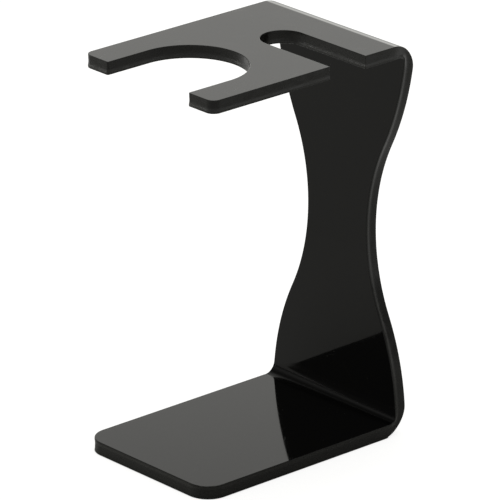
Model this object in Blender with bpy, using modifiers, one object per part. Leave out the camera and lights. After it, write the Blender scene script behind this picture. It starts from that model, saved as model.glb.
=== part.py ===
"""Razor stand: one sheet of gloss acrylic, cut to outline in the flat and line-bent twice into a C.

The C is a base, a waisted upright and a top plate. The plate's open end carries a U-shaped notch for
the brush, and a slot behind it, open at one side, for the razor.

Frame: +Z up, the prongs of the top plate point to -Y, the upright stands at +Y and the razor slot
opens to +X. The origin is the middle of the bounding box, at the level that the stand rests on.
"""

import math

import bmesh
import bpy

# ---- sheet and overall size, in metres ----
SHEET = 0.005                              # thickness of the sheet
HEIGHT = 0.150                             # floor to the top face of the plate
BASE_WIDTH = 0.0660
PLATE_WIDTH = 0.0685
BASE_FLAT = 0.0858                         # front edge of the base to the start of its bend
PLATE_FLAT = 0.0856                        # end of the top bend to the ends of the prongs

# ---- the two bends: the inside is pressed tighter, so the sheet thins a little there ----
BASE_BEND_OUTSIDE = 0.0108                 # outside radius, between base and upright
BASE_BEND_INSIDE = 0.0041
PLATE_BEND_OUTSIDE = 0.0103                # outside radius, between upright and top plate
PLATE_BEND_INSIDE = 0.0032
UPRIGHT_LEAN = math.radians(0.8)           # the upright leans back from vertical
BEND_FACETS = 12                           # flat facets round each bend

# ---- waist of the upright ----
WAIST_WIDTH = 0.0312                       # narrowest width
WAIST_HEIGHT = 0.0753                      # floor to the narrowest place
WAIST_RADIUS = 0.0734                      # concave arc through the waist
BASE_FLARE = 0.0734                        # waist to where the base's sides run straight, along the sheet
PLATE_FLARE = 0.0798                       # waist to where the plate's sides run straight

# ---- outline of base and plate ----
BASE_CORNER = 0.0085                       # front corners of the base
PRONG_CORNER = 0.0035                      # outer corners of the prongs
PRONG_INNER_CORNER = 0.0008                # inner corners of the prongs
NOTCH_WIDTH = 0.0425                       # brush notch, between the prongs
NOTCH_DEPTH = 0.0405                       # ends of the prongs to the back of the notch
SLOT_NEAR = 0.0548                         # ends of the prongs to the near edge of the razor slot
SLOT_WIDTH = 0.0168
SLOT_END = -0.0077                         # x of the slot's round closed end

# ---- finish ----
EDGE_ROUNDING = 0.0003                     # polished arris round every face
CHORD_ERROR = 0.00003                      # how far an outline arc's chords may cut inside the arc
MERGE = 0.00001                            # points closer than this are one

BLACK_ACRYLIC = (0.010, 0.010, 0.0095, 1.0)
ACRYLIC_ROUGHNESS = 0.08
ACRYLIC_IOR = 1.49

# ---- the sheet's path, from the front edge of the base to the ends of the prongs ----
BASE_TURN = math.pi / 2 - UPRIGHT_LEAN
PLATE_TURN = math.pi / 2 + UPRIGHT_LEAN
BASE_BEND_RISE = BASE_BEND_OUTSIDE * (1 - math.cos(BASE_TURN))
PLATE_BEND_RISE = PLATE_BEND_OUTSIDE * (1 - math.cos(PLATE_TURN))
UPRIGHT_FLAT = (HEIGHT - BASE_BEND_RISE - PLATE_BEND_RISE) / math.sin(BASE_TURN)
UPRIGHT_SWEEP = UPRIGHT_FLAT * math.cos(BASE_TURN)
DEPTH = BASE_FLAT + BASE_BEND_OUTSIDE * math.sin(BASE_TURN) + UPRIGHT_SWEEP
DEPTH += PLATE_BEND_OUTSIDE * (1 - math.sin(BASE_TURN))

BASE_BEND_START = BASE_FLAT
BASE_BEND_END = BASE_BEND_START + (BASE_BEND_OUTSIDE - SHEET / 2) * BASE_TURN
PLATE_BEND_START = BASE_BEND_END + UPRIGHT_FLAT
PLATE_BEND_END = PLATE_BEND_START + (PLATE_BEND_OUTSIDE - SHEET / 2) * PLATE_TURN
SHEET_END = PLATE_BEND_END + PLATE_FLAT
WAIST = BASE_BEND_END + (WAIST_HEIGHT - BASE_BEND_RISE) / math.sin(BASE_TURN)
# Each run is (length along the sheet, angle it turns through, outside radius, inside radius).
RUNS = (
    (BASE_FLAT, 0.0, 0.0, 0.0),
    (BASE_BEND_END - BASE_BEND_START, BASE_TURN, BASE_BEND_OUTSIDE, BASE_BEND_INSIDE),
    (UPRIGHT_FLAT, 0.0, 0.0, 0.0),
    (PLATE_BEND_END - PLATE_BEND_START, PLATE_TURN, PLATE_BEND_OUTSIDE, PLATE_BEND_INSIDE),
    (PLATE_FLAT, 0.0, 0.0, 0.0),
)


def clear_scene():
    """Remove every object, so that the script gives the same scene each time."""
    for thing in list(bpy.data.objects):
        bpy.data.objects.remove(thing, do_unlink=True)


def acrylic_material():
    """Black gloss acrylic."""
    material = bpy.data.materials.new("black_acrylic")
    material.use_nodes = True
    shader = material.node_tree.nodes["Principled BSDF"]
    shader.inputs["Base Color"].default_value = BLACK_ACRYLIC
    shader.inputs["Roughness"].default_value = ACRYLIC_ROUGHNESS
    shader.inputs["IOR"].default_value = ACRYLIC_IOR
    shader.inputs["Metallic"].default_value = 0.0
    return material


def arc(centre_x, centre_s, radius, start, end):
    """Points on an arc, ends included. Angles are in radians, from +x towards +s."""
    step = 2 * math.acos(1 - CHORD_ERROR / radius)
    steps = math.ceil(abs(end - start) / step)
    angles = [start + (end - start) * i / steps for i in range(steps + 1)]
    return [(centre_x + radius * math.cos(a), centre_s + radius * math.sin(a)) for a in angles]


def flare(half_width, run):
    """Half of the waist on the +x side, from the waist out to a straight side.

    The points are (x, distance from the waist): the concave waist arc, then a convex arc that is
    tangent both to it and to the straight side at half_width.
    """
    spread = half_width - WAIST_WIDTH / 2
    radii = (run * run + spread * spread) / (2 * spread)
    side_radius = radii - WAIST_RADIUS
    swing = math.asin(run / radii)
    waist_arc = arc(WAIST_WIDTH / 2 + WAIST_RADIUS, 0.0, WAIST_RADIUS, math.pi, math.pi - swing)
    side_arc = arc(half_width - side_radius, run, side_radius, -swing, 0.0)
    return waist_arc + side_arc[1:]


def plain_side():
    """The sheet's +x side in the flat, from the middle of the base's front edge to a prong's end."""
    base_half = BASE_WIDTH / 2
    plate_half = PLATE_WIDTH / 2
    points = arc(base_half - BASE_CORNER, BASE_CORNER, BASE_CORNER, -math.pi / 2, 0.0)
    lower = [(x, WAIST - run) for x, run in flare(base_half, BASE_FLARE)]
    upper = [(x, WAIST + run) for x, run in flare(plate_half, PLATE_FLARE)]
    points += lower[:0:-1] + upper
    points += arc(plate_half - PRONG_CORNER, SHEET_END - PRONG_CORNER, PRONG_CORNER, 0.0, math.pi / 2)
    return points


def razor_slot():
    """The slot's outline from its mouth at +x round its closed end and back, in the flat."""
    half = SLOT_WIDTH / 2
    middle = SHEET_END - SLOT_NEAR - half
    mouth = PLATE_WIDTH / 2
    closed_end = arc(SLOT_END + half, middle, half, -math.pi / 2, -3 * math.pi / 2)
    return [(mouth, middle - half)] + closed_end + [(mouth, middle + half)]


def brush_notch():
    """The notch's outline from the +x prong's inner corner to the -x one's, in the flat."""
    half = NOTCH_WIDTH / 2
    corner = PRONG_INNER_CORNER
    corner_s = SHEET_END - corner
    near = arc(half + corner, corner_s, corner, math.pi / 2, math.pi)
    round_end = arc(0.0, SHEET_END - NOTCH_DEPTH + half, half, 0.0, -math.pi)
    far = arc(-half - corner, corner_s, corner, 0.0, math.pi / 2)
    return near + round_end + far


def blank_outline():
    """The whole sheet's outline in the flat: x across the sheet, s along it."""
    left = [(-x, s) for x, s in reversed(plain_side())]
    right = plain_side()
    split = max(i for i, (x, s) in enumerate(right) if s < SHEET_END - SLOT_NEAR - SLOT_WIDTH)
    return right[:split + 1] + razor_slot() + right[split + 1:] + brush_notch() + left


def cut_blank(collection):
    """The flat sheet as a closed mesh, cut from its outline. Returns the mesh object."""
    curve = bpy.data.curves.new("blank_outline", "CURVE")
    curve.dimensions = "2D"
    curve.fill_mode = "BOTH"
    curve.extrude = SHEET / 2
    outline = blank_outline()
    spline = curve.splines.new("POLY")
    spline.points.add(len(outline) - 1)
    for point, (x, s) in zip(spline.points, outline):
        point.co = (x, s, 0.0, 1.0)
    spline.use_cyclic_u = True
    flat = bpy.data.objects.new("blank", curve)
    collection.objects.link(flat)
    bpy.context.view_layer.update()

    evaluated = flat.evaluated_get(bpy.context.evaluated_depsgraph_get())
    mesh = bpy.data.meshes.new_from_object(evaluated)
    mesh.name = "stand_body"
    stand = bpy.data.objects.new("stand_body", mesh)
    stand.matrix_world = flat.matrix_world
    collection.objects.link(stand)
    bpy.data.objects.remove(flat, do_unlink=True)
    return stand


def inner_face_reach(angle, turn, outside, inside):
    """Distance from the centre of a bend's outer face to its inner face, at an angle round the bend.

    The inner face is a tighter arc, tangent to the same two flats.
    """
    half_turn = turn / 2
    flat = outside - SHEET
    inside_centre = (flat - inside) / math.cos(half_turn)
    from_middle = abs(angle - half_turn)
    tangent = half_turn - math.atan2(inside_centre * math.sin(half_turn), flat)
    if from_middle > tangent:
        return flat / math.cos(half_turn - from_middle)
    across = inside_centre * math.sin(from_middle)
    return inside_centre * math.cos(from_middle) + math.sqrt(inside * inside - across * across)


def folded(s, depth):
    """Side view (y, z) of a point of the bent sheet: s along it, depth in from its outer face."""
    y, z, heading = 0.0, 0.0, 0.0
    for length, turn, outside, inside in RUNS:
        travel = min(s, length)
        s -= travel
        if turn:
            centre_y = y - outside * math.sin(heading)
            centre_z = z + outside * math.cos(heading)
            angle = turn * travel / length
            heading += angle
            y = centre_y + outside * math.sin(heading)
            z = centre_z - outside * math.cos(heading)
            thickness = outside - inner_face_reach(angle, turn, outside, inside)
        else:
            y += travel * math.cos(heading)
            z += travel * math.sin(heading)
            thickness = SHEET
        if s <= 0.0:
            break
    inward = depth * thickness / SHEET
    return y - inward * math.sin(heading), z + inward * math.cos(heading)


def bend_sheet(stand):
    """Score the flat mesh across each bend zone, then fold it round the two bends."""
    flat = bmesh.new()
    flat.from_mesh(stand.data)
    bmesh.ops.remove_doubles(flat, verts=flat.verts, dist=MERGE)
    bmesh.ops.recalc_face_normals(flat, faces=flat.faces)
    for start, end in ((BASE_BEND_START, BASE_BEND_END), (PLATE_BEND_START, PLATE_BEND_END)):
        for i in range(BEND_FACETS + 1):
            s = start + (end - start) * i / BEND_FACETS
            everything = flat.verts[:] + flat.edges[:] + flat.faces[:]
            bmesh.ops.bisect_plane(
                flat, geom=everything, dist=MERGE, plane_co=(0.0, s, 0.0), plane_no=(0.0, 1.0, 0.0))
    for vert in flat.verts:
        x, s, height = vert.co
        y, z = folded(s, height + SHEET / 2)
        vert.co = (x, y - DEPTH / 2, z)
    flat.to_mesh(stand.data)
    flat.free()


def polish_edges(stand):
    """Round every sharp arris a little, as flame polishing leaves it."""
    bevel = stand.modifiers.new("polished_arris", "BEVEL")
    bevel.width = EDGE_ROUNDING
    bevel.segments = 2
    bevel.limit_method = "ANGLE"
    bevel.angle_limit = math.radians(40)
    stand.data.shade_smooth()
    stand.data.set_sharp_from_angle(angle=math.radians(30))


def build():
    """Make the stand in its own collection."""
    clear_scene()
    collection = bpy.data.collections.new("razor_stand")
    bpy.context.scene.collection.children.link(collection)
    stand = cut_blank(collection)
    bend_sheet(stand)
    polish_edges(stand)
    stand.data.materials.append(acrylic_material())


build()
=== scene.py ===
"""Looks for the razor stand: a finely meshed polished sheet, its black acrylic, a studio and a camera.

The sheet is made as the real one is: its outline is cut in the flat, its edges are rounded, and it
is then folded round the two bends. It stands in for the CAD node stand_body, on the same faces.
"""

import math

import bmesh
import bpy
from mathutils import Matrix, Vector


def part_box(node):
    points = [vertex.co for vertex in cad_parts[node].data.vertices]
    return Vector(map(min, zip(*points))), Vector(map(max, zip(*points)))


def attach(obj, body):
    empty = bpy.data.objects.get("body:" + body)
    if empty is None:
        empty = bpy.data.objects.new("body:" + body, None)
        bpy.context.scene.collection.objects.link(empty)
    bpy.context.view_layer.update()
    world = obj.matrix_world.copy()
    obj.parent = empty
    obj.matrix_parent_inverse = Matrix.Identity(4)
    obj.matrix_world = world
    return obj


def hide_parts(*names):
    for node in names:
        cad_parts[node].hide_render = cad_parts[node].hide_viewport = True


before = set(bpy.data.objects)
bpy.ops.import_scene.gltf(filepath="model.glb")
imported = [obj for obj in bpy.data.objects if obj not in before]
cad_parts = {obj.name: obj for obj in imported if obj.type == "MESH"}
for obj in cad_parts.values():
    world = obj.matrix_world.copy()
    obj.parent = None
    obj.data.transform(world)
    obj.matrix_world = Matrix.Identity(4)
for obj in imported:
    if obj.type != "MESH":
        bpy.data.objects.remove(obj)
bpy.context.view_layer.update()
LOW, HIGH = (Vector(corner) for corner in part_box("stand_body"))
CENTRE = (LOW + HIGH) / 2

# ---- the sheet, in metres: the same driving sizes as the CAD part ----
SHEET = 0.005                              # thickness
HEIGHT = HIGH.z - LOW.z
PLATE_WIDTH = HIGH.x - LOW.x
BASE_WIDTH = 0.0660
BASE_FLAT = 0.0858                         # front edge of the base to the start of its bend
PLATE_FLAT = 0.0856                        # end of the top bend to the ends of the prongs
BASE_BEND_OUTSIDE = 0.0108                 # outside and inside radii of the two bends
BASE_BEND_INSIDE = 0.0041
PLATE_BEND_OUTSIDE = 0.0103
PLATE_BEND_INSIDE = 0.0032
UPRIGHT_LEAN = math.radians(0.8)           # the upright leans back from vertical
WAIST_WIDTH = 0.0312                       # narrowest width of the upright
WAIST_RADIUS = 0.0734                      # concave arc through the waist
WAIST_HEIGHT = 0.0753                      # floor to the narrowest place
BASE_FLARE = 0.0734                        # waist to where the base's sides run straight, along the sheet
PLATE_FLARE = 0.0798                       # waist to where the plate's sides run straight
BASE_CORNER = 0.0085                       # front corners of the base
PRONG_CORNER = 0.0035                      # outer corners of the prongs
PRONG_INNER_CORNER = 0.0008
NOTCH_WIDTH = 0.0425                       # brush notch, with a round end
NOTCH_DEPTH = 0.0405
SLOT_NEAR = 0.0548                         # ends of the prongs to the near side of the razor slot
SLOT_WIDTH = 0.0168
SLOT_END = -0.0077                         # x of the slot's closed end

# ---- finish of the mesh ----
INNER_ARRIS = 0.00020                      # radius of the edge round the inner face
OUTER_ARRIS = 0.00015                      # and round the outer face
ARRIS_STEPS = 5
SIDE_STEPS = 14
LIP = 0.00024                              # the cut leaves a low lip along the inner side of its edge
LIP_DEPTH = 0.0005                         # crest of the lip, in from the inner face
LIP_SPREAD = 0.0010                        # depth over which the lip dies away
LIP_HIGHLIGHT_DEPTH = 0.0010                        # middle of the band of painted highlight along the lip, from the inner face
EDGE_FLARE = 0.00015                       # and it comes back out by this much at the outer face
MOUTH_CORNER = 0.0003                      # corners at the mouth of the razor slot
BEND_LINES = 40                            # score lines across each bend
BEND_DRAW = 0.0004                         # bending draws the edges in by this much, but for the inside
BEND_DRAW_SPREAD = 0.0018                  # depth over which the drawing-in grows
BEND_EDGE_TIGHTER = 0.0018                 # the inside of a bend is tighter by this much at its +x end
BEND_EDGE = 0.010                          # over this much of the width
CHORD_ERROR = 0.000003                     # how far an arc's chords may be from the arc
MERGE = 0.0000001                          # a score line takes a point that is this near
NUDGE = 0.000001                           # step for slopes of the fold

# ---- the sheet's path, from the front edge of the base to the ends of the prongs ----
BASE_TURN = math.pi / 2 - UPRIGHT_LEAN
PLATE_TURN = math.pi / 2 + UPRIGHT_LEAN
BASE_BEND_RISE = BASE_BEND_OUTSIDE * (1 - math.cos(BASE_TURN))
PLATE_BEND_RISE = PLATE_BEND_OUTSIDE * (1 - math.cos(PLATE_TURN))
UPRIGHT_FLAT = (HEIGHT - BASE_BEND_RISE - PLATE_BEND_RISE) / math.sin(BASE_TURN)
BASE_BEND_START = BASE_FLAT
BASE_BEND_END = BASE_BEND_START + (BASE_BEND_OUTSIDE - SHEET / 2) * BASE_TURN
PLATE_BEND_START = BASE_BEND_END + UPRIGHT_FLAT
PLATE_BEND_END = PLATE_BEND_START + (PLATE_BEND_OUTSIDE - SHEET / 2) * PLATE_TURN
SHEET_END = PLATE_BEND_END + PLATE_FLAT
WAIST = BASE_BEND_END + (WAIST_HEIGHT - BASE_BEND_RISE) / math.sin(BASE_TURN)
BENDS = ((BASE_BEND_START, BASE_BEND_END), (PLATE_BEND_START, PLATE_BEND_END))
# Each run is (length along the sheet, angle it turns through, outside radius, inside radius).
RUNS = (
    (BASE_FLAT, 0.0, 0.0, 0.0),
    (BASE_BEND_END - BASE_BEND_START, BASE_TURN, BASE_BEND_OUTSIDE, BASE_BEND_INSIDE),
    (UPRIGHT_FLAT, 0.0, 0.0, 0.0),
    (PLATE_BEND_END - PLATE_BEND_START, PLATE_TURN, PLATE_BEND_OUTSIDE, PLATE_BEND_INSIDE),
    (PLATE_FLAT, 0.0, 0.0, 0.0),
)

# ---- camera: angles from the part's front, places from the part's box ----
CAMERA_AZIMUTH = math.radians(48.14)
CAMERA_ELEVATION = math.radians(21.23)
CAMERA_DISTANCE = 2.0479
CAMERA_LENS = 412.28                       # mm
CAMERA_SENSOR = 36.0                       # mm
CAMERA_AIM = CENTRE + Vector((-0.00132, 0.00232, -0.00245))


# ---------------------------------------------------------------- outline of the sheet in the flat
def arc(centre_x, centre_s, radius, start, end, facing=1):
    """Points on an arc with their outward normals: (x, s, normal x, normal s).

    Angles are in radians from +x towards +s. facing is 1 where the sheet is inside the arc and -1
    where the arc is hollow.
    """
    step = 2 * math.acos(1 - CHORD_ERROR / radius)
    steps = math.ceil(abs(end - start) / step)
    points = []
    for i in range(steps + 1):
        angle = start + (end - start) * i / steps
        along_x, along_s = math.cos(angle), math.sin(angle)
        points.append((centre_x + radius * along_x, centre_s + radius * along_s,
                       facing * along_x, facing * along_s))
    return points


def flare(half_width, run):
    """Half of the waist on the +x side: (x, distance from the waist, and the normal in those)."""
    spread = half_width - WAIST_WIDTH / 2
    radii = (run * run + spread * spread) / (2 * spread)
    side_radius = radii - WAIST_RADIUS
    swing = math.asin(run / radii)
    waist_centre = WAIST_WIDTH / 2 + WAIST_RADIUS
    waist_arc = arc(waist_centre, 0.0, WAIST_RADIUS, math.pi, math.pi - swing, facing=-1)
    side_arc = arc(half_width - side_radius, run, side_radius, -swing, 0.0)
    return waist_arc + side_arc[1:]


def plain_side():
    """The sheet's +x side, from the front edge of the base to a prong's end."""
    base_half = BASE_WIDTH / 2
    plate_half = PLATE_WIDTH / 2
    points = arc(base_half - BASE_CORNER, BASE_CORNER, BASE_CORNER, -math.pi / 2, 0.0)
    lower = [(x, WAIST - run, out_x, -out_s) for x, run, out_x, out_s in flare(base_half, BASE_FLARE)]
    upper = [(x, WAIST + run, out_x, out_s) for x, run, out_x, out_s in flare(plate_half, PLATE_FLARE)]
    points += lower[:0:-1] + upper
    points += arc(plate_half - PRONG_CORNER, SHEET_END - PRONG_CORNER, PRONG_CORNER, 0.0, math.pi / 2)
    return points


def razor_slot():
    """The slot, from its mouth at +x round its closed end and back."""
    half = SLOT_WIDTH / 2
    middle = SHEET_END - SLOT_NEAR - half
    corner = MOUTH_CORNER
    corner_x = PLATE_WIDTH / 2 - corner
    near = arc(corner_x, middle - half - corner, corner, 0.0, math.pi / 2)
    closed_end = arc(SLOT_END + half, middle, half, -math.pi / 2, -3 * math.pi / 2, facing=-1)
    far = arc(corner_x, middle + half + corner, corner, -math.pi / 2, 0.0)
    return near + closed_end + far


def brush_notch():
    """The notch, from the +x prong's inner corner to the -x one's."""
    half = NOTCH_WIDTH / 2
    corner = PRONG_INNER_CORNER
    corner_s = SHEET_END - corner
    near = arc(half + corner, corner_s, corner, math.pi / 2, math.pi)
    round_end = arc(0.0, SHEET_END - NOTCH_DEPTH + half, half, 0.0, -math.pi, facing=-1)
    far = arc(-half - corner, corner_s, corner, 0.0, math.pi / 2)
    return near + round_end + far


def blank_outline():
    """The whole sheet's outline, counter-clockwise: (x, s, normal x, normal s)."""
    left = [(-x, s, -out_x, out_s) for x, s, out_x, out_s in reversed(plain_side())]
    right = plain_side()
    split = max(i for i, point in enumerate(right) if point[1] < SHEET_END - SLOT_NEAR - SLOT_WIDTH)
    return right[:split + 1] + razor_slot() + right[split + 1:] + brush_notch() + left


def edge_profile():
    """Section through the sheet's edge, from the inner face round to the outer face.

    Each step is (inset from the outline, height, outward part of the normal, upward part).
    """
    plain = []
    for i in range(ARRIS_STEPS + 1):
        angle = math.pi / 2 * (1 - i / ARRIS_STEPS)
        plain.append((INNER_ARRIS * (1 - math.cos(angle)), SHEET / 2 - INNER_ARRIS * (1 - math.sin(angle)),
                      math.cos(angle), math.sin(angle)))
    top, bottom = SHEET / 2 - INNER_ARRIS, OUTER_ARRIS - SHEET / 2
    plain += [(0.0, top + (bottom - top) * i / SIDE_STEPS, 1.0, 0.0) for i in range(1, SIDE_STEPS)]
    for i in range(ARRIS_STEPS + 1):
        angle = -math.pi / 2 * i / ARRIS_STEPS
        plain.append((OUTER_ARRIS * (1 - math.cos(angle)), -SHEET / 2 + OUTER_ARRIS * (1 + math.sin(angle)),
                      math.cos(angle), math.sin(angle)))
    steps = []
    crest = 0.0
    for inset, height, outward, upward in plain:
        past_crest = (SHEET / 2 - height - LIP_DEPTH) / LIP_SPREAD
        bump = LIP * math.exp(-past_crest * past_crest)
        slope = 2 * bump * past_crest / LIP_SPREAD
        across = math.pi * (SHEET / 2 - height) / SHEET
        bump += EDGE_FLARE * (1 - math.cos(across)) / 2
        slope -= EDGE_FLARE * math.pi * math.sin(across) / (2 * SHEET)
        upward -= slope * outward
        size = math.hypot(outward, upward)
        crest = max(crest, bump - inset)
        steps.append((inset - bump, height, outward / size, upward / size))
    return [(crest + inset, height, outward, upward) for inset, height, outward, upward in steps]


# ---------------------------------------------------------------- folding
def inner_face_reach(angle, turn, outside, inside):
    """Distance from the centre of a bend's outer face to its inner face, at an angle round the bend."""
    half_turn = turn / 2
    flat = outside - SHEET
    inside_centre = (flat - inside) / math.cos(half_turn)
    from_middle = abs(angle - half_turn)
    tangent = half_turn - math.atan2(inside_centre * math.sin(half_turn), flat)
    if from_middle > tangent:
        return flat / math.cos(half_turn - from_middle)
    across = inside_centre * math.sin(from_middle)
    return inside_centre * math.cos(from_middle) + math.sqrt(inside * inside - across * across)


def folded(x, s, height):
    """Where a point of the flat sheet is once it is bent. height is measured from mid-sheet."""
    y, z, heading, swell = 0.0, 0.0, 0.0, 0.0
    for length, turn, outside, inside in RUNS:
        travel = min(s, length)
        s -= travel
        if turn:
            centre_y = y - outside * math.sin(heading)
            centre_z = z + outside * math.cos(heading)
            angle = turn * travel / length
            heading += angle
            y = centre_y + outside * math.sin(heading)
            z = centre_z - outside * math.cos(heading)
            to_edge = min(1.0, max(0.0, (x - PLATE_WIDTH / 2 + BEND_EDGE) / BEND_EDGE))
            inside -= BEND_EDGE_TIGHTER * to_edge * to_edge * (3 - 2 * to_edge)
            thickness = outside - inner_face_reach(angle, turn, outside, inside)
            swell = math.sin(math.pi * travel / length) ** 2
        else:
            y += travel * math.cos(heading)
            z += travel * math.sin(heading)
            thickness = SHEET
            swell = 0.0
        if s <= 0.0:
            break
    depth = (height + SHEET / 2) * thickness / SHEET
    from_inside = (SHEET / 2 - height) / BEND_DRAW_SPREAD
    x -= x / (PLATE_WIDTH / 2) * BEND_DRAW * swell * (1 - math.exp(-from_inside * from_inside))
    return Vector((CENTRE.x + x,
                   LOW.y + y - depth * math.sin(heading),
                   LOW.z + z + depth * math.cos(heading)))


def folded_normal(x, s, height, normal):
    """The flat sheet's normal at a point, carried through the fold."""
    slopes = []
    for nudge in ((NUDGE, 0.0, 0.0), (0.0, NUDGE, 0.0), (0.0, 0.0, NUDGE)):
        ahead = folded(x + nudge[0], s + nudge[1], height + nudge[2])
        behind = folded(x - nudge[0], s - nudge[1], height - nudge[2])
        slopes.append((ahead - behind) / NUDGE)
    across, along, up = slopes
    turned = along.cross(up) * normal.x + up.cross(across) * normal.y + across.cross(along) * normal.z
    return turned.normalized()


def make_sheet():
    """The finished sheet as one closed mesh, with its flat coordinates kept for the material."""
    flat = bmesh.new()
    flat_normal = flat.verts.layers.float_vector.new("flat_normal")
    rim = flat.verts.layers.float.new("rim")
    outline = blank_outline()
    rings = []
    for inset, height, outward, upward in edge_profile():
        ring = []
        for x, s, out_x, out_s in outline:
            vert = flat.verts.new((x - inset * out_x, s - inset * out_s, height))
            vert[flat_normal] = Vector((out_x * outward, out_s * outward, upward))
            vert[rim] = outward
            ring.append(vert)
        rings.append(ring)
    for upper, lower in zip(rings, rings[1:]):
        for i in range(len(outline)):
            j = (i + 1) % len(outline)
            flat.faces.new((upper[i], lower[i], lower[j], upper[j]))
    flat.faces.new(rings[0])
    flat.faces.new(rings[-1][::-1])

    for start, end in BENDS:
        for i in range(BEND_LINES + 1):
            s = start + (end - start) * i / BEND_LINES
            everything = flat.verts[:] + flat.edges[:] + flat.faces[:]
            bmesh.ops.bisect_plane(
                flat, geom=everything, dist=MERGE, plane_co=(0.0, s, 0.0), plane_no=(0.0, 1.0, 0.0))

    place = flat.verts.layers.float_vector.new("flat_place")
    normals = []
    for vert in flat.verts:
        vert[place] = vert.co
        normals.append(folded_normal(*vert.co, vert[flat_normal]))
        vert.co = folded(*vert.co)
    mesh = bpy.data.meshes.new("polished_sheet")
    flat.to_mesh(mesh)
    flat.free()
    mesh.shade_smooth()
    mesh.normals_split_custom_set_from_vertices(normals)
    sheet = bpy.data.objects.new("polished_sheet", mesh)
    bpy.context.scene.collection.objects.link(sheet)
    return sheet


# ---------------------------------------------------------------- node helpers
class Nodes:
    """A short way to write a node tree. An input is given either a value or another node's output."""

    def __init__(self, tree):
        self.tree = tree
        tree.nodes.clear()

    def add(self, kind, inputs=None, **settings):
        node = self.tree.nodes.new(kind)
        for name, value in settings.items():
            setattr(node, name, value)
        for name, value in (inputs or {}).items():
            socket = node.inputs[name]
            if isinstance(value, bpy.types.NodeSocket):
                self.tree.links.new(value, socket)
            else:
                socket.default_value = value
        return node

    def math(self, operation, first, second=0.0):
        return self.add("ShaderNodeMath", {0: first, 1: second}, operation=operation).outputs[0]

    def ramp(self, value, low, high, to_low=0.0, to_high=1.0, kind="SMOOTHSTEP"):
        """Runs from to_low to to_high as the value goes from low to high, and is level outside them."""
        node = self.add("ShaderNodeMapRange", {
            "Value": value, "From Min": low, "From Max": high, "To Min": to_low, "To Max": to_high,
        }, interpolation_type=kind)
        return node.outputs["Result"]

    def stretched(self, vector, turn, scale):
        """The vector turned about the sheet's normal, then scaled along each axis."""
        turned = self.add("ShaderNodeVectorRotate", {"Vector": vector, "Angle": turn},
                          rotation_type="Z_AXIS").outputs["Vector"]
        return self.add("ShaderNodeVectorMath", {0: turned, 1: scale},
                        operation="MULTIPLY").outputs["Vector"]

    def mix(self, factor, first, second):
        """One number going over into another."""
        return self.add("ShaderNodeMix", {"Factor": factor, "A": first, "B": second}).outputs["Result"]

    def blend(self, factor, first, second):
        """One colour going over into another."""
        return self.add("ShaderNodeMix", {"Factor": factor, "A": first, "B": second},
                        data_type="RGBA").outputs["Result"]

    def noise(self, vector, scale=1.0, detail=2.0):
        return self.add("ShaderNodeTexNoise", {
            "Vector": vector, "Scale": scale, "Detail": detail,
        }).outputs["Fac"]


# ---------------------------------------------------------------- materials
UPRIGHT_WARP = 0.022                       # slope by which the foot of the upright is out of true
UPRIGHT_WARP_RUN = 0.055                   # and how far up from the bend that goes

ACRYLIC_IOR = 1.49
FACE_COLOUR = (0.0005, 0.0005, 0.0004, 1.0)
EDGE_COLOUR = (0.0140, 0.0140, 0.0127, 1.0)
# a lighter colour for the band along the lip of the cut edge: a painted highlight
LIP_HIGHLIGHT_COLOUR = (0.0280, 0.0280, 0.0255, 1.0)
DUST_COLOUR = (0.045, 0.045, 0.042, 1.0)
EDGE_STARTS = (0.35, 0.9)                  # outward part of the normal, from face to cut edge

CLEAN_ROUGH = 0.045                        # roughness of the face where it is cleanest
HANDLED_ROUGH = 0.085                      # and where it is most handled
SCRATCH_ROUGH = 0.10                       # what a scratch, dust and the heater each add to it
DUST_ROUGH = 0.4
HEATED_ROUGH = 0.14
EDGE_ROUGH = (0.20, 0.34)                  # least and most roughness of the cut edge

# Scales of noise are in waves per metre. A cut is the pair of noise levels between which a mark comes in.
SCRATCHES = ((0.35, 2600.0), (1.25, 2100.0), (2.4, 3100.0))     # (direction in radians, scale across)
SCRATCH_ALONG = 45.0
SCRATCH_CUT = (0.70, 0.78)
SCRATCH_PATCHES = (160.0, 90.0, 0.0)       # scales across and along of the patches that have scratches
PATCH_CUT = (0.52, 0.62)
SCRATCH_TAKES = 0.12                       # how far scratches and dust show in the dust's colour
DUST_TAKES = 0.8
DUST_CELLS = 330.0
DUST_SPOT = (0.030, 0.055)                 # core and rim of a spot, as a part of a cell
DUST_FREE = 0.72                           # share of the cells that have no spot
SMUDGES = 38.0
SMUDGE_CUT = (0.35, 0.75)
CUT_MARKS = (2400.0, 2400.0, 60.0)         # scales along both ways of the sheet and through it
CUT_WAVES = (260.0, 260.0, 500.0)
CUT_WAVE_CUT = (0.3, 0.7)
CUT_MARK_HEIGHT = 0.35                     # heights as a part of the waves' height
SCRATCH_HEIGHT = -0.15
WAVE_HEIGHT = 0.00006                      # metres
MARK_STRENGTH = 0.35


def foot_warp(nodes, along):
    """The heat of the bend leaves the foot of the upright very slightly out of true.

    It only shows in how the upright mirrors the base, so it is a slope of the normal and not a shape.
    """
    warp = nodes.ramp(along, BASE_BEND_END, BASE_BEND_END + UPRIGHT_WARP_RUN,
                      0.0, UPRIGHT_WARP * UPRIGHT_WARP_RUN, "LINEAR")
    return nodes.add("ShaderNodeBump", {"Strength": 1.0, "Distance": 1.0, "Height": warp}).outputs["Normal"]


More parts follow.
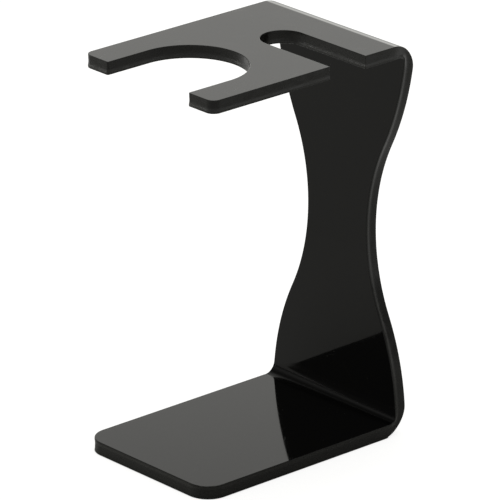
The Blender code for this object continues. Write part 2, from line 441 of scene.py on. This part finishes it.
def acrylic_material():
    """Black gloss acrylic: polished faces with fine scratches and dust, duller cut edges."""
    material = bpy.data.materials.new("black_acrylic")
    material.use_nodes = True
    nodes = Nodes(material.node_tree)
    place = nodes.add("ShaderNodeAttribute", attribute_name="flat_place").outputs["Vector"]
    rim = nodes.add("ShaderNodeAttribute", attribute_name="rim").outputs["Fac"]
    edge = nodes.ramp(rim, *EDGE_STARTS)
    axes = nodes.add("ShaderNodeSeparateXYZ", {"Vector": place}).outputs
    along = axes["Y"]
    # Painted highlight: a lighter band along the lip of the cut edge, centred at the lip's depth.
    past_crest = nodes.math("ABSOLUTE", nodes.math("SUBTRACT", axes["Z"], SHEET / 2 - LIP_HIGHLIGHT_DEPTH))
    painted_lip_highlight = nodes.ramp(past_crest, 0.0, LIP_SPREAD, 1.0, 0.0)

    # Hairline scratches: thin bands of stretched noise, in three directions.
    scratches = 0.0
    for turn, across in SCRATCHES:
        lines = nodes.noise(nodes.stretched(place, turn, (across, SCRATCH_ALONG, 0.0)), detail=1.0)
        patches = nodes.noise(nodes.stretched(place, turn, SCRATCH_PATCHES), detail=0.0)
        thin = nodes.ramp(lines, *SCRATCH_CUT)
        here = nodes.ramp(patches, *PATCH_CUT)
        scratches = nodes.math("MAXIMUM", nodes.math("MULTIPLY", thin, here), scratches)

    # Dust: a small spot in some of the cells of a Voronoi pattern.
    cells = nodes.add("ShaderNodeTexVoronoi", {"Vector": place, "Scale": DUST_CELLS, "Randomness": 1.0})
    chosen = nodes.add("ShaderNodeSeparateColor", {"Color": cells.outputs["Color"]}).outputs["Red"]
    spot = nodes.ramp(cells.outputs["Distance"], *DUST_SPOT, 1.0, 0.0)
    dust = nodes.math("MULTIPLY", spot, nodes.math("GREATER_THAN", chosen, DUST_FREE))

    # Handling marks: broad faint patches that take the edge off the polish.
    smudge = nodes.noise(place, SMUDGES, detail=3.0)
    face_rough = nodes.ramp(smudge, *SMUDGE_CUT, CLEAN_ROUGH, HANDLED_ROUGH)
    face_rough = nodes.math("ADD", face_rough, nodes.math("MULTIPLY", scratches, SCRATCH_ROUGH))
    face_rough = nodes.math("ADD", face_rough, nodes.math("MULTIPLY", dust, DUST_ROUGH))

    # The heater softens the polish along the base bend.
    heated = nodes.math("MULTIPLY", nodes.ramp(along, BASE_BEND_START, BASE_BEND_START + SHEET / 2),
                        nodes.ramp(along, BASE_BEND_END, BASE_BEND_END + SHEET / 2, 1.0, 0.0))
    face_rough = nodes.math("ADD", face_rough, nodes.math("MULTIPLY", heated, HEATED_ROUGH))

    # Cut edge: cutter marks run nearly straight through the sheet, over waves that do not.
    cut_marks = nodes.noise(nodes.stretched(place, 0.0, CUT_MARKS), detail=2.0)
    cut_waves = nodes.noise(nodes.stretched(place, 0.0, CUT_WAVES), detail=2.0)
    edge_rough = nodes.ramp(cut_waves, *CUT_WAVE_CUT, *EDGE_ROUGH)
    rough = nodes.mix(edge, face_rough, edge_rough)

    dirt = nodes.math("MAXIMUM", nodes.math("MULTIPLY", dust, DUST_TAKES),
                      nodes.math("MULTIPLY", scratches, SCRATCH_TAKES))
    edge_colour = nodes.blend(painted_lip_highlight, EDGE_COLOUR, LIP_HIGHLIGHT_COLOUR)
    colour = nodes.blend(edge, FACE_COLOUR, edge_colour)
    dusty = nodes.blend(dirt, colour, DUST_COLOUR)

    height = nodes.math("MULTIPLY", scratches, SCRATCH_HEIGHT)
    marks = nodes.math("ADD", nodes.math("MULTIPLY", cut_marks, CUT_MARK_HEIGHT), cut_waves)
    height = nodes.math("ADD", height, nodes.math("MULTIPLY", marks, edge))
    marked = nodes.add("ShaderNodeBump", {
        "Strength": MARK_STRENGTH, "Distance": WAVE_HEIGHT, "Height": height,
        "Normal": foot_warp(nodes, along),
    }).outputs["Normal"]

    shader = nodes.add("ShaderNodeBsdfPrincipled", {
        "Base Color": dusty, "Roughness": rough, "Normal": marked, "IOR": ACRYLIC_IOR, "Metallic": 0.0,
    })
    nodes.add("ShaderNodeOutputMaterial", {"Surface": shader.outputs["BSDF"]})
    return material


# ---------------------------------------------------------------- studio
FLOOR_SIZE = 30.0
FLOOR_GAP = 0.00002                        # keeps the paper from lying in the plane of the underside
FLOOR_GLOW = 0.83                          # what the paper glows to the camera whatever shades it, less the painted contact shadow
FLOOR_SHADED = 0.40                        # and the part that the stand's shadow takes away
PAINTED_SHADOW_GAP = 0.0004                       # reach of the ambient occlusion that paints a dark contact shadow into the paper's glow right beside the stand
PAINTED_SHADOW_FADE = (0.45, 0.95)                # openness of the paper, from the painted shadow's darkest to its full glow
PAPER_FIBRES = 900.0
PAPER_TONE = (0.985, 1.0)
PAPER_BLUE = 0.97
FLOOR_MIRRORED = 0.41                      # the paper as the gloss mirrors it
FLOOR_BEHIND = 0.42                        # and painted light: a glow added to it behind the stand, standing for the backdrop's light
BEHIND_STARTS = (0.02, 0.18)               # metres towards the backdrop over which that comes in
FLOOR_FAR = 0.55                           # and painted light: a glow added to it far from the stand, standing for the room's lamps
FAR_STARTS = (0.4, 1.4)                    # metres from the stand over which that comes in
TO_BACKDROP = (-0.6, 0.8, 0.0)             # the backdrop is behind and to the left

# Light from round the stand. Heights are sines of the elevation: (from, to, level at each).
BACKDROP_EDGE = (0.30, 0.70)               # cosines of the angle off the backdrop's middle
BACKDROP_FALLS = (0.335, 0.47, 0.97, 0.40)
BACKDROP_STRIP = (0.24, 0.32, 1.0, 0.0)    # brighter strip low on the backdrop
BACKDROP_FOOT = (0.0, 0.2, 0.1, 1.0)       # which fades out at its foot
FRONT_RISES = (0.0, 0.32, 0.15, 1.0)
FRONT_FALLS = (0.32, 0.75, 0.24, 0.05)
FRONT_EDGE = (-0.1, 0.4)                   # from the room in front to the room beside the backdrop
ROOM_BESIDE = 0.15
ROOM_COLOUR = (1.0, 0.995, 0.955, 1.0)
LAMP_COLOUR = (1.0, 0.995, 0.97)
WHITE = (1.0, 1.0, 1.0, 1.0)
WHITE_TO_CAMERA = 1.05


def floor_material():
    """White paper: blown out to the camera but for a faint contact shadow, partly cast by the lamps and
    partly painted into its glow from ambient occlusion, softer in reflections.

    It is clear from below, so that the stand's underside can be looked at.
    """
    material = bpy.data.materials.new("white_paper")
    material.use_nodes = True
    nodes = Nodes(material.node_tree)
    seen = nodes.add("ShaderNodeLightPath").outputs["Is Camera Ray"]
    fibre = nodes.noise(nodes.add("ShaderNodeTexCoord").outputs["Object"], PAPER_FIBRES, detail=3.0)
    tone = nodes.ramp(fibre, 0.3, 0.7, *PAPER_TONE)

    def paper(albedo):
        grey = nodes.math("MULTIPLY", tone, albedo)
        colour = nodes.add("ShaderNodeCombineColor", {
            "Red": grey, "Green": grey, "Blue": nodes.math("MULTIPLY", grey, PAPER_BLUE),
        }).outputs["Color"]
        return nodes.add("ShaderNodeBsdfDiffuse", {"Color": colour}).outputs["BSDF"]

    def lit(albedo, glow):
        light = nodes.add("ShaderNodeEmission", {"Color": WHITE, "Strength": glow})
        return nodes.add("ShaderNodeAddShader", {0: light.outputs[0], 1: paper(albedo)}).outputs[0]

    place = nodes.add("ShaderNodeNewGeometry").outputs["Position"]
    toward = nodes.add("ShaderNodeVectorMath", {0: place, 1: TO_BACKDROP},
                       operation="DOT_PRODUCT").outputs["Value"]
    away = nodes.add("ShaderNodeVectorMath", {0: place}, operation="LENGTH").outputs["Value"]
    # Painted shadow: ambient occlusion darkens the paper's glow right beside the stand.
    painted_shadow_openness = nodes.add("ShaderNodeAmbientOcclusion", {"Distance": PAINTED_SHADOW_GAP}).outputs["AO"]
    glow = nodes.ramp(painted_shadow_openness, *PAINTED_SHADOW_FADE, 0.0, FLOOR_GLOW)
    # Painted light: a glow on the paper that stands for the backdrop's and the lamps' light, seen only in
    # reflections.
    painted_backdrop_light = nodes.ramp(toward, *BEHIND_STARTS, 0.0, FLOOR_BEHIND)
    painted_lamp_light = nodes.ramp(away, *FAR_STARTS, 0.0, FLOOR_FAR)
    painted_bounce = nodes.math("MAXIMUM", painted_backdrop_light, painted_lamp_light)
    surface = nodes.add("ShaderNodeMixShader", {
        0: seen, 1: lit(FLOOR_MIRRORED, painted_bounce), 2: lit(FLOOR_SHADED, glow),
    })
    from_below = nodes.add("ShaderNodeNewGeometry").outputs["Backfacing"]
    clear = nodes.add("ShaderNodeBsdfTransparent").outputs["BSDF"]
    surface = nodes.add("ShaderNodeMixShader", {0: from_below, 1: surface.outputs[0], 2: clear})
    nodes.add("ShaderNodeOutputMaterial", {"Surface": surface.outputs[0]})
    return material


def make_floor():
    """A sheet of white paper under the stand."""
    mesh = bpy.data.meshes.new("paper_floor")
    half = FLOOR_SIZE / 2
    level = LOW.z - FLOOR_GAP
    sides = ((-1, -1), (1, -1), (1, 1), (-1, 1))
    corners = [(CENTRE.x + x * half, CENTRE.y + y * half, level) for x, y in sides]
    mesh.from_pydata(corners, [], [(0, 1, 2, 3)])
    mesh.materials.append(floor_material())
    floor = bpy.data.objects.new("paper_floor", mesh)
    bpy.context.scene.collection.objects.link(floor)


def make_world():
    """The studio: a bright backdrop behind the stand, a dark room in front of it, white to the camera."""
    world = bpy.data.worlds.new("studio")
    world.use_nodes = True
    bpy.context.scene.world = world
    nodes = Nodes(world.node_tree)
    way = nodes.add("ShaderNodeTexCoord").outputs["Generated"]
    axes = nodes.add("ShaderNodeSeparateXYZ", {"Vector": way}).outputs
    toward = nodes.add("ShaderNodeVectorMath", {0: way, 1: TO_BACKDROP}, operation="DOT_PRODUCT")
    at_backdrop = nodes.ramp(toward.outputs["Value"], *BACKDROP_EDGE)
    strip = nodes.math("MULTIPLY", nodes.ramp(axes["Z"], *BACKDROP_STRIP),
                       nodes.ramp(axes["Z"], *BACKDROP_FOOT))
    backdrop = nodes.math("ADD", nodes.ramp(axes["Z"], *BACKDROP_FALLS), strip)
    front = nodes.math("MULTIPLY", nodes.ramp(axes["Z"], *FRONT_RISES),
                       nodes.ramp(axes["Z"], *FRONT_FALLS))
    past_front = nodes.ramp(axes["Y"], *FRONT_EDGE)
    room = nodes.mix(past_front, front, ROOM_BESIDE)
    level = nodes.mix(at_backdrop, room, backdrop)
    light = nodes.add("ShaderNodeBackground", {"Color": ROOM_COLOUR, "Strength": level})
    white = nodes.add("ShaderNodeBackground", {"Color": WHITE, "Strength": WHITE_TO_CAMERA})
    seen = nodes.add("ShaderNodeLightPath").outputs["Is Camera Ray"]
    both = nodes.add("ShaderNodeMixShader", {0: seen, 1: light.outputs[0], 2: white.outputs[0]})
    nodes.add("ShaderNodeOutputWorld", {"Surface": both.outputs[0]})


def make_softbox(name, place, size, watts, mirrored=True):
    """A square softbox aimed at the stand. place is measured from the middle of the stand."""
    light = bpy.data.lights.new(name, "AREA")
    light.shape = "SQUARE"
    light.size = size
    light.energy = watts
    light.color = LAMP_COLOUR
    box = bpy.data.objects.new(name, light)
    box.location = CENTRE + Vector(place)
    box.rotation_euler = (CENTRE - box.location).to_track_quat("-Z", "Y").to_euler()
    box.visible_camera = False
    box.visible_glossy = mirrored
    bpy.context.scene.collection.objects.link(box)


def make_camera():
    """The camera where the photograph was taken from."""
    data = bpy.data.cameras.new("camera")
    data.lens = CAMERA_LENS
    data.sensor_width = CAMERA_SENSOR
    data.clip_start = 0.05
    data.clip_end = 100.0
    camera = bpy.data.objects.new("camera", data)
    flat = math.cos(CAMERA_ELEVATION)
    back = Vector((flat * math.sin(CAMERA_AZIMUTH), -flat * math.cos(CAMERA_AZIMUTH),
                   math.sin(CAMERA_ELEVATION)))
    camera.location = CAMERA_AIM + back * CAMERA_DISTANCE
    camera.rotation_euler = (-back).to_track_quat("-Z", "Y").to_euler()
    bpy.context.scene.collection.objects.link(camera)
    bpy.context.scene.camera = camera


make_camera()
make_floor()
make_world()
make_softbox("top_softbox", (-0.1, 0.2, 1.5), 1.3, 12.0)
make_softbox("side_softbox", (-1.2, -0.8, 0.1), 0.5, 14.0, mirrored=False)

stand = make_sheet()
stand.data.materials.append(acrylic_material())
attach(stand, "root")
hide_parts("stand_body")

bpy.context.scene.view_settings.view_transform = "Standard"
bpy.context.view_layer.update()
